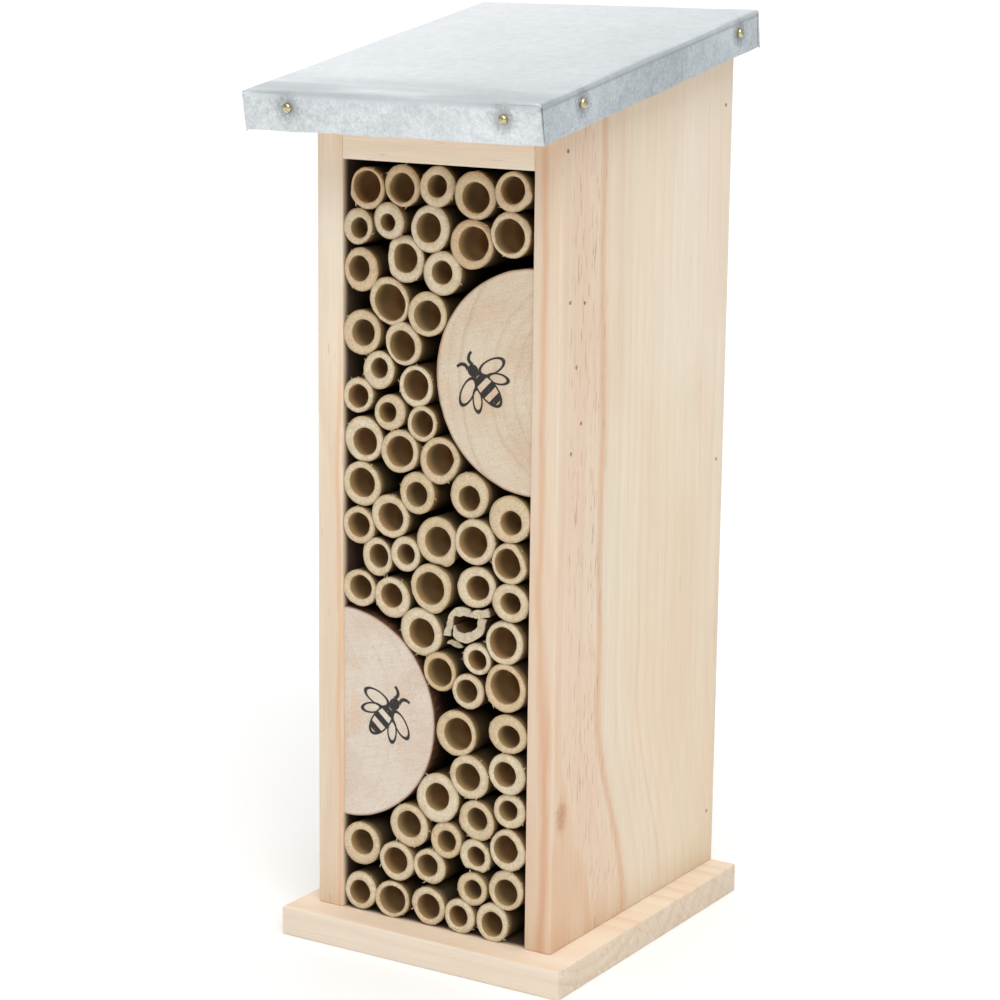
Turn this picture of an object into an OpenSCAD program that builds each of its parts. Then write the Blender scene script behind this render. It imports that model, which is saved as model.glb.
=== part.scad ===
// Insect hotel: a narrow pine box on a base board, under a sloping roof clad
// in folded galvanised sheet.  Two half logs are pinned to its side walls and
// the rest of the opening is packed with lengths of bamboo cane.
// The origin is at the bottom centre, +Z is up and the open front faces -Y.

/* [Box] */
// Outside width of the box
box_w = 92.5; // [91:0.5:94]
// How far the box stands to the right of the middle of the roof and base
box_shift = -1; // [-2:0.5:2]
// Depth of the box from its open front to its back face
box_d = 114; // [108:1:118]
// Thickness of the boards
board_t = 10; // [9:0.5:11]
// Height of the top rail's lower edge above the ground
rail_z = 265; // [265:0.5:268]
// Width of the base board
base_w = 110; // [104:1:120]
// Depth of the base board, whose back edge is flush with the box
base_d = 125; // [120:1:130]

/* [Roof] */
// Width of the roof
roof_w = 110; // [104:1:120]
// Length of the roof along its slope
roof_len = 144; // [140:1:150]
// Slope of the roof, falling towards the front
slope = 10; // [6:0.5:12]
// Height of the roof's top front edge
roof_front_z = 288; // [287:0.5:294]
// Depth of the metal cap's skirt, square to the slope
skirt = 13; // [11:0.5:15]
// Thickness of the galvanised sheet
sheet_t = 0.6; // [0.4:0.1:1]

/* [Half logs] */
// Radius of the half logs
log_r = 36.5; // [35:0.5:36.5]
// Height of the lower half log's centre, on the left wall
low_log_z = 79.5; // [79:0.5:80]
// Height of the upper half log's centre, on the right wall
high_log_z = 198; // [197.5:0.5:198.5]
// How far the logs' sawn faces lie behind the box's front
log_recess = 1; // [0.5:0.5:3]

/* [Canes] */
// Greatest setback of a cane's mouth behind the box's front
cane_setback = 1; // [0.5:0.5:5]
// Thickness of the natural joint wall that closes each cane at the back
joint_wall = 6; // [4:1:12]
// Thinnest cane wall
thin_wall = 1.2; // [1:0.1:1.5]

/* [Fasteners] */
// Diameter of the roof nails' round heads
nail_head_d = 4; // [3.5:0.1:4.5]
// Diameter of the roof nails' shanks
nail_shank_d = 1.6; // [1.4:0.1:2]
// Length of the roof nails under the head
nail_len = 16; // [12:1:20]
// Diameter of the headless brads
brad_d = 1.6; // [1.2:0.1:2]
// Length of the brads
brad_len = 25; // [20:1:28]
// Diameter of the base screws' heads
screw_head_d = 6; // [5:0.5:7]
// Diameter of the base screws
screw_d = 3; // [2.5:0.5:3.5]
// Length of the base screws
screw_len = 30; // [25:1:35]

/* [Hidden] */
$fn = 64;
fit = 0.1; // clearance on a diameter between a fastener and its hole
past = 1; // how far a cutting tool runs past the face it cuts
hair = 0.02; // hairline left between neighbouring canes

// Overall places, centred on the depth from the front nails' heads to the back
nail_dome = nail_head_d * 0.3; // height of a nail's round head
nail_drop = 5.5; // from the roof's top face down to the nails
nail_reach = nail_dome * cos(slope) - nail_drop * sin(slope);
total_d = roof_len * cos(slope) + skirt * sin(slope) + nail_reach;
front = nail_reach - total_d / 2; // the roof's front top edge
back = total_d / 2; // the shared back plane
mouth = back - box_d; // the box's open front
inner_w = box_w - 2 * board_t;
wall = inner_w / 2; // each side wall's inner face
side_x = wall + board_t / 2; // the middle of a side board
back_face = back - board_t; // the back panel's inner face
back_y = back - board_t / 2; // the middle of the back panel
floor_z = board_t;
hole_depth = back_face - mouth; // depth of the opening

// The roof's underside, where the walls stop
function under_roof(y) = roof_front_z + (y - front) * tan(slope) - skirt / cos(slope);

// Fasteners' places
front_nail_x = [-38, 41.5];
side_nail_run = [25, 130]; // measured up the slope from the front edge
back_brad_z = [29.5, 158, 280.5];
rail_brad = [mouth + 3.5, 271.5];
upper_log_brads = [[-35.5, 224], [-26.5, 223], [-31, 203], [-27.5, 184.5], [-33.5, 175.5]];
lower_log_brads = [[-35.5, 105.5], [-27, 104.5], [-31, 84.5], [-33.5, 57]];
screw_y = [-25, 50];
roof_brad_run = [50, 125]; // measured up the slope from the front edge

// Each cane: across from the centre line, height above the floor, outer
// diameter and bore.  They run in loose courses from the top rail down.
canes = [
    [-27, 246, 13, 10], [-13.5, 247.5, 13.5, 9], [0, 248, 12.5, 7],
    [14, 246, 15, 9.5], [28, 248, 13.5, 8.5],
    [-30.5, 233.5, 11.5, 6.5], [-18.5, 236, 12, 5.5], [-2.5, 234.5, 14.5, 9],
    [13, 230.5, 16, 10.5], [27.5, 234.5, 15, 10.5],
    [-29.5, 219.5, 13.5, 8], [-12.5, 224, 14.5, 9], [2, 220.5, 14.5, 7.5],
    [-18.5, 210, 15.5, 11.5], [-3.5, 207, 14, 9.5],
    [-29, 199, 14.5, 8.5], [-13, 196.5, 14, 9.5],
    [-22.5, 187, 12.5, 6.5], [-8, 183, 14, 9.5],
    [-30.5, 178, 12, 7.5], [-18, 173.5, 12, 6.5], [-5.5, 171, 12, 8],
    [-28.5, 163.5, 15, 9], [-14, 161, 14.5, 10], [1.5, 159.5, 15.5, 10],
    [-29, 148.5, 14.5, 9.5], [-7, 148, 14, 8], [13, 149.5, 14.5, 8],
    [28.5, 143.5, 15, 7.5],
    [-30, 134.5, 13, 8], [-17.5, 139, 14.5, 9], [0.5, 133, 16, 9.5],
    [15.5, 134.5, 15.5, 10], [28.5, 129, 14, 9.5],
    [-23, 124.5, 13, 7.5], [-11.5, 127, 12, 6.5], [-1.5, 117, 15.5, 10.5],
    [16, 119.5, 14, 8], [29, 116, 13.5, 7],
    [-30, 113, 13, 8], [-17, 111.5, 14, 8], [-5.5, 101.5, 16.5, 9.5],
    [27, 102.5, 15, 10],
    [16.5, 95.5, 10.5, 6.5], [2, 89, 13.5, 9], [13, 84, 12.5, 7.5], [27.5, 87.5, 16.5, 11],
    [8.5, 69, 16.5, 10.5], [28.5, 72, 14, 7.5],
    [14, 55, 15.5, 9], [28.5, 58.5, 14, 8],
    [1.5, 45.5, 17, 9], [29.5, 46, 12, 6.5],
    [-9.5, 34, 15.5, 9], [17, 40.5, 14, 7.5], [5, 31.5, 12.5, 7],
    [16.5, 28, 12, 6.5], [29, 32.5, 14, 9],
    [-29, 24, 14.5, 8.5], [-14.5, 20.5, 14.5, 9], [-1.5, 21, 13, 7.5],
    [15.5, 16.5, 12, 6.5], [28.5, 18.5, 14, 8.5],
    [-29.5, 7, 13.5, 8], [-16.5, 6.5, 13.5, 9.5], [-2, 7, 14, 8.5],
    [10.5, 6, 12.5, 7], [23.5, 6.5, 13.5, 8],
];
cane_count = len(canes);
setbacks = rands(0.3, cane_setback, cane_count, 12);

// A cane's own radius gives way to whatever is close beside it: it keeps its
// share of the distance to each neighbour, and stays inside the walls, floor,
// rail and half logs.
function gap_between(a, b) = norm([a[0] - b[0], a[1] - b[1]]);
function share(a, b) = gap_between(a, b) * a[2] / (a[2] + b[2]) - hair;
function cane_z(c) = floor_z + c[1];
function to_log(c, x, z) = norm([c[0] - x, cane_z(c) - z]) - log_r;
function room(c) = min(wall - abs(c[0]), c[1], rail_z - cane_z(c),
    to_log(c, wall, high_log_z), to_log(c, -wall, low_log_z));
function cane_r(i) = min(canes[i][2] / 2 + 0.2, room(canes[i]),
    min([for (j = [0 : cane_count - 1]) if (j != i) share(canes[i], canes[j])]));
function bore_r(i) = min(canes[i][3] / 2, cane_r(i) - thin_wall);

// The split cane's place, shell and the arcs of its pieces
split_at = [11.5, 106.5];
split_r = 6.2;
split_wall = 2.2;

// Canes share nodes in twos
pair_count = cane_count / 2;
function pair_name(k) = str("cane_pair_", k < 10 ? "0" : "", k);

// ---- Placing helpers ----

// The box's own frame, a little to one side of the roof and base
module in_box() translate([box_shift, 0, 0]) children();

// A plate drawn in the side view (along the depth, up) and given a width
module side_profile(points, x0, x1)
    translate([x0, 0, 0]) rotate([90, 0, 90]) linear_extrude(x1 - x0) polygon(points);

// The roof's own frame: along the slope and square to it, from the front edge
module on_roof() translate([0, front, roof_front_z]) rotate([slope, 0, 0]) children();

// A rod that runs inwards along X from a side board's outer face
module side_rod(side, y, z, depth, d, sunk = 0)
    translate([side * (box_w / 2 - sunk), y, z]) rotate([0, -90 * side, 0])
        cylinder(d = d, h = depth);

module side_brads(side, places)
    for (p = places) side_rod(side, p[0], p[1], brad_len, brad_d, 0.3);

module side_brad_holes(side, places)
    for (p = places) side_rod(side, p[0], p[1], brad_len + 0.3 + past, brad_d + fit, -past);

// ---- Fasteners ----

// A round-head nail that points down -Z, with its head on the plane z = 0
module roof_nail() {
    dome_r = (nail_dome * nail_dome + nail_head_d * nail_head_d / 4) / (2 * nail_dome);
    intersection() {
        translate([0, 0, nail_dome - dome_r]) sphere(dome_r);
        cylinder(d = nail_head_d + 1, h = nail_dome + 1);
    }
    translate([0, 0, -nail_len]) cylinder(d = nail_shank_d, h = nail_len);
}

module nail_hole() translate([0, 0, -nail_len - fit]) cylinder(d = nail_shank_d + fit, h = nail_len + past);

// Puts its children at the roof's nail places on one edge, with +Z outwards
module at_front_nails() for (x = front_nail_x) translate([x, 0, -nail_drop]) rotate([90, 0, 0]) children();
module at_rear_nails() for (x = front_nail_x) translate([x, roof_len, -nail_drop]) rotate([-90, 0, 0]) children();
module at_side_nails(side)
    for (run = side_nail_run)
        translate([side * roof_w / 2, run, -nail_drop]) rotate([0, 90 * side, 0]) children();

module all_nail_holes() {
    at_front_nails() nail_hole();
    at_rear_nails() nail_hole();
    at_side_nails(-1) nail_hole();
    at_side_nails(1) nail_hole();
}

// Brads through the roof board into the side boards' top edges
module at_roof_brads()
    for (x = [-side_x, side_x], run = roof_brad_run)
        translate([x, run, -sheet_t - brad_len]) children();

// A countersunk screw that points up, with its head sunk in the underside
module base_screw() {
    translate([0, 0, 0.5]) cylinder(d1 = screw_head_d, d2 = screw_d, h = screw_head_d / 2);
    translate([0, 0, 1]) cylinder(d = screw_d, h = screw_len);
}

module base_screw_hole() {
    translate([0, 0, 0.5]) cylinder(d1 = screw_head_d + fit, d2 = screw_d + fit, h = screw_head_d / 2);
    translate([0, 0, -past]) cylinder(d = screw_head_d + fit, h = past + 0.5);
    translate([0, 0, 1]) cylinder(d = screw_d + fit, h = screw_len + fit);
}

module at_base_screws() for (x = [-side_x, side_x], y = screw_y) translate([x, y, 0]) children();

// ---- Boards ----

module base_board() color("wheat") difference() {
    translate([-base_w / 2, back - base_d, 0]) cube([base_w, base_d, board_t]);
    in_box() at_base_screws() base_screw_hole();
}

module side_board(side, log_brads) color("bisque") difference() {
    side_profile([[mouth, floor_z], [back, floor_z], [back, under_roof(back)],
        [mouth, under_roof(mouth)]], side * side_x - board_t / 2, side * side_x + board_t / 2);
    side_brad_holes(side, [for (z = back_brad_z) [back_y, z]]);
    side_brad_holes(side, [rail_brad]);
    side_brad_holes(side, log_brads);
    at_base_screws() base_screw_hole();
    on_roof() at_roof_brads() cylinder(d = brad_d + fit, h = brad_len);
}

module back_panel() color("bisque") difference() {
    side_profile([[back_face, floor_z], [back, floor_z], [back, under_roof(back)],
        [back_face, under_roof(back_face)]], -wall, wall);
    for (side = [-1, 1]) side_brad_holes(side, [for (z = back_brad_z) [back_y, z]]);
}

module top_rail() color("bisque") difference() {
    side_profile([[mouth, rail_z], [mouth + board_t, rail_z],
        [mouth + board_t, under_roof(mouth + board_t)], [mouth, under_roof(mouth)]], -wall, wall);
    for (side = [-1, 1]) side_brad_holes(side, [rail_brad]);
}

// ---- Roof ----

module roof_board() color("burlywood") on_roof() difference() {
    translate([-roof_w / 2 + sheet_t + fit / 2, sheet_t + fit / 2, -skirt])
        cube([roof_w - 2 * sheet_t - fit, roof_len - 2 * sheet_t - fit, skirt - sheet_t]);
    all_nail_holes();
    in_box() at_roof_brads() cylinder(d = brad_d + fit, h = brad_len + past);
}

module roof_sheet() color("lightsteelblue") on_roof() difference() {
    translate([-roof_w / 2, 0, -skirt]) cube([roof_w, roof_len, skirt]);
    translate([-roof_w / 2 + sheet_t, sheet_t, -skirt - past])
        cube([roof_w - 2 * sheet_t, roof_len - 2 * sheet_t, skirt - sheet_t + past]);
    all_nail_holes();
}

// ---- Half logs ----

// Half a round log, flat against a wall, pinned through it
module half_log(side, z, brads) color("tan") difference() {
    intersection() {
        translate([side * wall, mouth + log_recess, z]) rotate([-90, 0, 0])
            cylinder(r = log_r, h = hole_depth - log_recess, $fn = 128);
        translate([side < 0 ? -wall : wall - 2 * log_r, mouth, z - 2 * log_r])
            cube([2 * log_r, hole_depth, 4 * log_r]);
    }
    side_brad_holes(side, brads);
}

// ---- Canes ----

// One cane, open at the front and closed near the back panel by its joint
module cane(i) color("khaki") translate([canes[i][0], mouth + setbacks[i], cane_z(canes[i])])
    rotate([-90, 0, 0]) difference() {
        cylinder(r = cane_r(i), h = hole_depth - setbacks[i]);
        translate([0, 0, -past])
            cylinder(r = bore_r(i), h = hole_depth - setbacks[i] - joint_wall + past);
    }

module cane_pair(k) for (i = [2 * k - 2, 2 * k - 1]) cane(i);

// A slice of the split cane's shell between two angles, shifted aside
module shell_piece(from, to, shift, r, recess, length)
    translate([split_at[0] + shift[0], mouth + recess, floor_z + split_at[1] + shift[1]])
        rotate([90, 0, 0]) mirror([0, 0, 1]) intersection() {
            difference() {
                cylinder(r = r, h = length);
                translate([0, 0, -past]) cylinder(r = r - split_wall, h = length + 2 * past);
            }
            linear_extrude(length) polygon(concat([[0, 0]],
                [for (a = [from : (to - from) / 6 : to]) 2 * r * [cos(a), sin(a)]]));
        }

// A cane crushed in the pile: two shells and two loose slivers
module split_cane() color("beige") {
    shell_piece(-150, 10, [1, 0.2], split_r, 1, hole_depth - 1);
    shell_piece(58, 190, [0.2, 0.6], split_r, 2, hole_depth - 20);
    shell_piece(15, 50, [3, 0.8], split_r, 0.5, 30);
    shell_piece(-152, -110, [-2.2, -0.4], split_r, 3, 24);
}

// ---- One node per part ----

base_board();
roof_board();
roof_sheet();
color("gold") on_roof() at_front_nails() roof_nail();  // front_roof_nails
color("gold") on_roof() at_side_nails(-1) roof_nail();  // left_roof_nails
color("gold") on_roof() at_side_nails(1) roof_nail();  // right_roof_nails
color("gold") on_roof() at_rear_nails() roof_nail();  // rear_roof_nails
in_box() {
    side_board(-1, lower_log_brads);  // left_side_board
    side_board(1, upper_log_brads);  // right_side_board
    back_panel();
    top_rail();
    color("gray") on_roof() at_roof_brads() cylinder(d = brad_d, h = brad_len);  // roof_brads
    color("gray") side_brads(-1, concat([rail_brad], [for (z = back_brad_z) [back_y, z]]));  // left_side_brads
    color("gray") side_brads(1, concat([rail_brad], [for (z = back_brad_z) [back_y, z]]));  // right_side_brads
    color("gray") at_base_screws() base_screw();  // base_screws
    half_log(1, high_log_z, upper_log_brads);  // upper_half_log
    half_log(-1, low_log_z, lower_log_brads);  // lower_half_log
    color("gray") side_brads(1, upper_log_brads);
    color("gray") side_brads(-1, lower_log_brads);
    split_cane();
    for (k = [1 : pair_count]) cane_pair(k);
}
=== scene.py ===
# Insect hotel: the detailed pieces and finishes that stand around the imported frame.
# Sizes are given in millimetres and turn into metres where a mesh is made.
import math
import random

import bmesh
import bpy
from mathutils import Matrix, Vector, noise


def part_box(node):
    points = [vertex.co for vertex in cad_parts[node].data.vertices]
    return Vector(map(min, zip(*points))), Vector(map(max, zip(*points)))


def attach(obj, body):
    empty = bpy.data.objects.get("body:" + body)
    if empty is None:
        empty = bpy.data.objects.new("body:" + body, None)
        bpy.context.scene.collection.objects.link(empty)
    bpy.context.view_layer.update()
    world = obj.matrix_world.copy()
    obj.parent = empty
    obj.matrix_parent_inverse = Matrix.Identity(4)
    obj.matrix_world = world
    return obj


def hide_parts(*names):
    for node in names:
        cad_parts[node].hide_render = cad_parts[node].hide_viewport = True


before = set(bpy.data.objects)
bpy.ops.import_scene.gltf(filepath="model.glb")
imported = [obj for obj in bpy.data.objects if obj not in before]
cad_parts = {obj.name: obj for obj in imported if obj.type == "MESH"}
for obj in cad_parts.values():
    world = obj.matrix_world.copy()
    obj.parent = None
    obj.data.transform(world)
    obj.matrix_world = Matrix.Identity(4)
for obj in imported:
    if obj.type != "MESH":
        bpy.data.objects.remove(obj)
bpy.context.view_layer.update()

MM = 0.001
SCENE = bpy.context.scene


def add_object(name, data):
    thing = bpy.data.objects.new(name, data)
    SCENE.collection.objects.link(thing)
    return thing


# ---- Camera ----

CAMERA_PLACE = (0.473721, -0.770263, 0.339242)
CAMERA_TURN, CAMERA_DIP, CAMERA_ROLL = 31.688, 11.850, 0.648  # degrees
CAMERA_LENS = 98.52


def set_camera():
    """The camera stands in front of the hotel, to its right, a little above the middle."""
    camera = bpy.data.cameras.new("camera")
    camera.lens = CAMERA_LENS
    camera.sensor_width = 36.0
    camera.clip_start = 0.05
    stand = add_object("camera", camera)
    turn = Matrix.Rotation(math.radians(CAMERA_TURN), 4, "Z")
    tip = Matrix.Rotation(math.radians(90 - CAMERA_DIP), 4, "X")
    roll = Matrix.Rotation(math.radians(CAMERA_ROLL), 4, "Z")
    stand.matrix_world = Matrix.Translation(CAMERA_PLACE) @ turn @ tip @ roll
    SCENE.camera = stand


set_camera()


# ---- The hotel's opening ----

def find_opening():
    """The hollow of the box in millimetres: left, right, front, back and floor."""
    left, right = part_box("left_side_board")[1].x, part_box("right_side_board")[0].x
    front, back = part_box("top_rail")[0].y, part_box("back_panel")[0].y
    return [place / MM for place in (left, right, front, back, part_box("base_board")[1].z)]


LEFT, RIGHT, FRONT, BACK, FLOOR = find_opening()
MIDDLE = (LEFT + RIGHT) / 2


# ---- Node trees ----

class Wire:
    """One output of a node. Arithmetic on it adds Math nodes to its tree."""

    def __init__(self, tree, socket):
        self.tree = tree
        self.socket = socket

    def __getitem__(self, name):
        return Wire(self.tree, self.socket.node.outputs[name])

    def math(self, operation, *values):
        return self.tree.math(operation, self, *values)

    def __add__(self, other):
        return self.math("ADD", other)

    def __sub__(self, other):
        return self.math("SUBTRACT", other)

    def __mul__(self, other):
        return self.math("MULTIPLY", other)

    def __truediv__(self, other):
        return self.math("DIVIDE", other)

    def __pow__(self, other):
        return self.math("POWER", other)

    def __rsub__(self, other):
        return self.tree.math("SUBTRACT", other, self)

    __radd__ = __add__
    __rmul__ = __mul__


class Tree:
    """A node tree that is written as expressions."""

    def __init__(self, node_tree):
        self.node_tree = node_tree

    def add(self, kind, settings=None, inputs=(), out=0):
        """Adds a node: its settings first, then the values or wires of its sockets."""
        node = self.node_tree.nodes.new(kind)
        for key, value in (settings or {}).items():
            setattr(node, key, value)
        for key, value in inputs.items() if isinstance(inputs, dict) else enumerate(inputs):
            socket = node.inputs[key]
            if isinstance(value, Wire):
                self.node_tree.links.new(value.socket, socket)
            else:
                socket.default_value = value
        return Wire(self, node.outputs[out]) if len(node.outputs) else node

    def math(self, operation, *values):
        return self.add("ShaderNodeMath", {"operation": operation}, values)

    def vector(self, x, y, z):
        return self.add("ShaderNodeCombineXYZ", None, (x, y, z))

    def parts(self, vector):
        split = self.add("ShaderNodeSeparateXYZ", None, (vector,))
        return split["X"], split["Y"], split["Z"]

    def noise(self, vector, scale=1.0, detail=2.0, rough=0.5):
        """Noise from 0 to 1, about 0.5 on average."""
        return self.add("ShaderNodeTexNoise", None, {
            "Vector": vector, "Scale": scale, "Detail": detail, "Roughness": rough})

    def rise(self, value, low, high, smooth=True):
        """0 below low, 1 above high; the other way round where low is above high."""
        style = "SMOOTHSTEP" if smooth else "LINEAR"
        return self.add("ShaderNodeMapRange", {"interpolation_type": style}, {
            "Value": value, "From Min": low, "From Max": high})

    def band(self, value, middle, width):
        """1 at the middle, fading to 0 at a width on either side."""
        return self.rise((value - middle).math("ABSOLUTE"), width, 0)


class Finish(Tree):
    """A material whose pattern is laid out in millimetres of the hotel's own space."""

    def __init__(self, name):
        self.material = bpy.data.materials.new(name)
        self.material.use_nodes = True
        super().__init__(self.material.node_tree)
        self.node_tree.nodes.clear()
        coords = self.add("ShaderNodeTexCoord", None, (), "Object")
        self.place = self.add("ShaderNodeVectorMath", {"operation": "SCALE"}, {0: coords, "Scale": 1000.0})

    def blend(self, share, first, second, style="MIX"):
        return self.add("ShaderNodeMix", {"data_type": "RGBA", "blend_type": style}, {
            0: share, 6: paint(first), 7: paint(second)}, 2)

    def shade(self, colour, amount):
        """Scales a colour's brightness by a wire."""
        grey = self.add("ShaderNodeCombineColor", None, (amount, amount, amount))
        return self.blend(1.0, colour, grey, "MULTIPLY")

    def attribute(self, name):
        return self.add("ShaderNodeAttribute", {"attribute_name": name}, (), "Fac")

    def chance(self, value):
        """A random share that stays the same for the same value."""
        return self.add("ShaderNodeTexWhiteNoise", {"noise_dimensions": "1D"}, {"W": value}, "Value")

    def painted_shade_inside(self):
        """Mask of the painted shade inside the box: 1 on faces inside it, growing over the first millimetres
        behind its mouth.
        """
        x, y, z = self.parts(self.place)
        across = self.rise(x, LEFT - 0.4, LEFT - 0.1) * self.rise(x, RIGHT + 0.4, RIGHT + 0.1)
        deep = self.rise(y, FRONT + 0.2, FRONT + 4) * self.rise(y, BACK + 0.4, BACK + 0.1)
        return across * deep * self.rise(z, FLOOR - 0.4, FLOOR - 0.1)

    def close(self, colour, rough, height=None, bump=0.3, depth=0.3, metallic=0.0, **fixed):
        """Joins the colour, roughness and relief to the surface shader."""
        inputs = {"Base Color": paint(colour), "Roughness": rough, "Metallic": metallic}
        inputs.update({key.replace("_", " "): value for key, value in fixed.items()})
        if height is not None:
            inputs["Normal"] = self.add("ShaderNodeBump", None, {
                "Strength": bump, "Distance": depth * MM, "Height": height})
        shader = self.add("ShaderNodeBsdfPrincipled", None, inputs)
        self.add("ShaderNodeOutputMaterial", None, {"Surface": shader})
        return self.material


def paint(colour):
    """A wire stays as it is; red, green and blue from 0 to 255 on screen become a linear colour."""
    if isinstance(colour, Wire) or len(colour) == 4:
        return colour
    linear = [((c / 255 + 0.055) / 1.055) ** 2.4 if c > 10 else c / 255 / 12.92 for c in colour]
    return (*linear, 1.0)


# ---- Finishes ----

def pine(name, grain, pith, spacing, light, warm, late, late_share, seed, bend=None, streaks=(),
         front_streaks_and_light=(), knots=(), marks=0.3, dashed=None, faces=(), sawn=None):
    """Planed pine. Rings run round the pith, given across the grain; streaks and knots lie on them.

    Bend leans the rings below a height: low, high, how far, and the place across where they stay still.
    A streak is its middle, width, share and tint, and the two ends of its run along the grain; a front
    streak is the same on the front face only, and front streaks carry painted light as well as grain. Dashed
    gives the strip across the grain that has short red dashes. Faces are tinted planes: the axis that they
    stand across, their place, colour and share. Sawn is the place of a rough right end."""
    wood = Finish(name)
    x, y, z = wood.parts(wood.place)
    p, q, g = (x, y, z) if grain == "z" else (y, z, x)
    sway = wood.noise(wood.vector(p * 0.01, q * 0.01 + seed, g * 0.008), detail=1.0) - 0.5
    shift = sway * 9
    if bend:
        low, high, amount, still = bend
        shift = (shift + wood.rise(g, high, low) * amount) * wood.rise(q, still, still + 24)
    knot_tint = None
    for k_p, k_q, k_g, size in knots:
        reach = wood.vector((p - k_p) / size, (q - k_q) / size, (g - k_g) / (size * 1.6))
        far = wood.add("ShaderNodeVectorMath", {"operation": "LENGTH"}, (reach,), "Value")
        wobble = far + (wood.noise(wood.place, 0.5, 3.0) - 0.5) * 1.3
        tint = wood.rise(wobble, 1.35, 0.15)
        shift = shift + wood.rise(far, 3.2, 0.6) * size * 0.8
        knot_tint = tint if knot_tint is None else knot_tint.math("MAXIMUM", tint)
    across = q - shift
    radius = ((p - pith[0]) ** 2.0 + (across - pith[1]) ** 2.0) ** 0.5
    rings = radius / spacing + (wood.noise(wood.vector(radius * 0.05, seed, 0.0), detail=1.0) - 0.5) * 2.4
    ring = rings.math("FLOOR")
    part = rings - ring
    latewood = wood.rise(part, 0.30, 0.86) * wood.rise(part, 1.0, 0.90)
    latewood = latewood * (0.25 + wood.chance(ring + seed) ** 2.0 * 0.75)
    fibres = wood.noise(wood.vector(p * 1.6, q * 1.6, g * 0.035 + seed), detail=4.0, rough=0.65)
    broad = wood.noise(wood.vector(p * 0.05, q * 0.05 + seed, g * 0.012), detail=2.0)
    colour = wood.blend(wood.rise(broad, 0.35, 0.7), light, warm)
    colour = wood.blend(latewood * late_share, colour, late)
    drift = (wood.noise(wood.vector(seed + 3, 0.0, g * 0.016), detail=2.0) - 0.5) * 5
    for middle, width, share, tint, low, high in streaks:
        edge = wood.band(across + drift, middle, width)
        ends = wood.rise(g, low - 12, low + 12) * wood.rise(g, high + 12, high - 12)
        colour = wood.blend(edge * ends * share, colour, tint)
    dashes = wood.noise(wood.vector(p * 0.9, q * 0.9, g * 0.09 + seed * 3), detail=1.0)
    colour = wood.blend(wood.rise(dashes, 0.70, 0.80) * marks, colour, (150, 96, 66))
    if dashed:
        start, end = dashed
        strip = wood.rise(across, start - 3, start + 3) * wood.rise(across, end + 3, end - 3)
        short = wood.noise(wood.vector(p * 0.5, q * 1.7, g * 0.12 + 20), detail=2.0)
        colour = wood.blend(strip * wood.rise(short, 0.60, 0.70) * 0.62, colour, (176, 124, 94))
    if knot_tint is not None:
        heart = wood.noise(wood.place, 1.5, 3.0)
        colour = wood.blend(knot_tint * 0.75, colour, wood.blend(heart, (168, 112, 76), (208, 156, 114)))
    wander = (wood.noise(wood.vector(seed, 0.0, g * 0.02), detail=2.0) - 0.5) * 5
    front_face = wood.rise(y, FRONT + 0.7, FRONT + 0.2)
    for middle, width, share, tint, low, high in front_streaks_and_light:
        edge = wood.band(x + wander, middle, width) * front_face * wood.rise(g, low, low + 24)
        colour = wood.blend(edge * wood.rise(g, high, high - 60) * share, colour, tint)
    for axis, place, tint, share in faces:
        colour = wood.blend(wood.band((x, y, z)[axis], place, 0.5) * share, colour, tint)
    rough_end = 0.0
    if sawn is not None:
        tears = wood.noise(wood.vector(0.0, y * 0.50 + z * 0.40, z * 0.20 - y * 0.08), 1.0, 5.0, 0.8)
        rough_end = wood.band(x, sawn, 0.6)
        colour = wood.blend(rough_end * wood.rise(tears, 0.52, 0.70) * 0.55, colour, (176, 148, 120))
        colour = wood.blend(rough_end * wood.rise(tears, 0.44, 0.34) * 0.5, colour, (238, 230, 218))
    # Painted shade inside the box: its faces are tinted brown and darkened behind the mouth; the fibres vary
    # the tone everywhere.
    colour = wood.blend(wood.painted_shade_inside() * 0.75, colour, (150, 98, 62))
    colour = wood.shade(colour, (0.86 + fibres * 0.27) * (1 - wood.painted_shade_inside() * 0.80))
    height = fibres * 0.5 - latewood * 0.25 + wood.noise(wood.place, 2.2, 3.0) * (rough_end * 1.5 + 0.2)
    return wood.close(colour, 0.52 + fibres * 0.2, height, 0.35, 0.25, IOR=1.45)


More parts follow.
